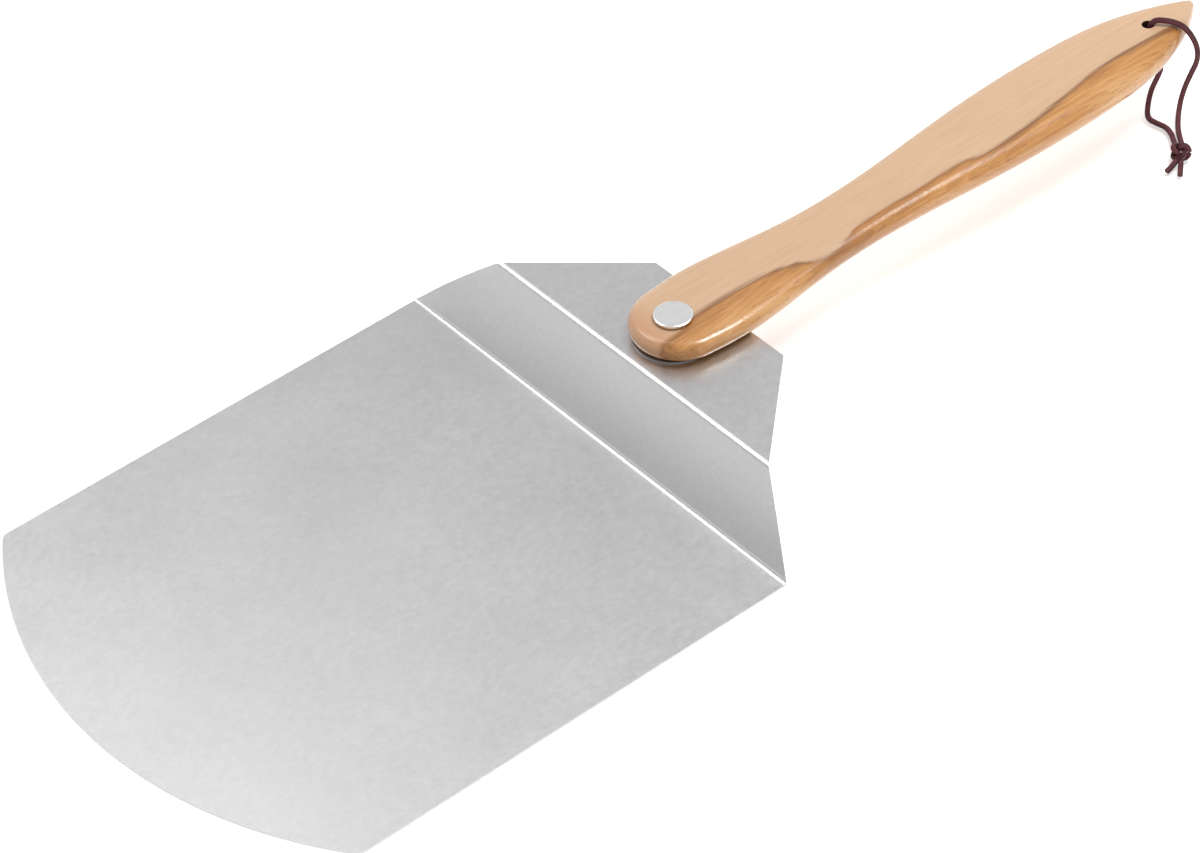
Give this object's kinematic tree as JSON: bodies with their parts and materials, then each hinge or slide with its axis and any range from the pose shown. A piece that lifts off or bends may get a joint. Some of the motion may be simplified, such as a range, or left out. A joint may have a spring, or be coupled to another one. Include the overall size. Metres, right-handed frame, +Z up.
{
  "type": "folding pizza peel",
  "caption": "Folding pizza peel: thin bent steel blade with a raised neck and a shaped wooden handle that turns on a binding post, with a leather hanging lanyard.",
  "frame": {"origin": "on the pivot's axis at the level of the blade's underside, which is the bottom centre of the open peel", "axes": "+X along the handle, away from the blade; +Z up, along the pivot's axis; the XZ plane is the plane of symmetry"},
  "size_m": [0.754, 0.3, 0.0629],
  "materials": {
    "blade_steel": "fine satin stainless steel",
    "wood": "clear lacquered light hardwood",
    "plate_steel": "plain stainless steel",
    "post_steel": "polished stainless steel",
    "leather": "dark brown leather lace"
  },
  "bodies": {
    "blade_assembly": {"blade": "blade_steel", "binding_post": "post_steel", "head_washer": "plate_steel", "plain_washer": "plate_steel", "spring_washer": "plate_steel", "pivot_screw": "post_steel"},
    "handle_assembly": {"handle": "wood", "wear_plate": "plate_steel", "lanyard_cord": "leather", "lanyard_knot": "leather", "lanyard_tails": "leather"}
  },
  "joints": [
    {"name": "handle_pivot", "type": "hinge", "parent": "blade_assembly", "child": "handle_assembly", "pos_m": [0, 0, 0.0445], "axis": [0, 0, 1], "continuous": true}
  ]
}
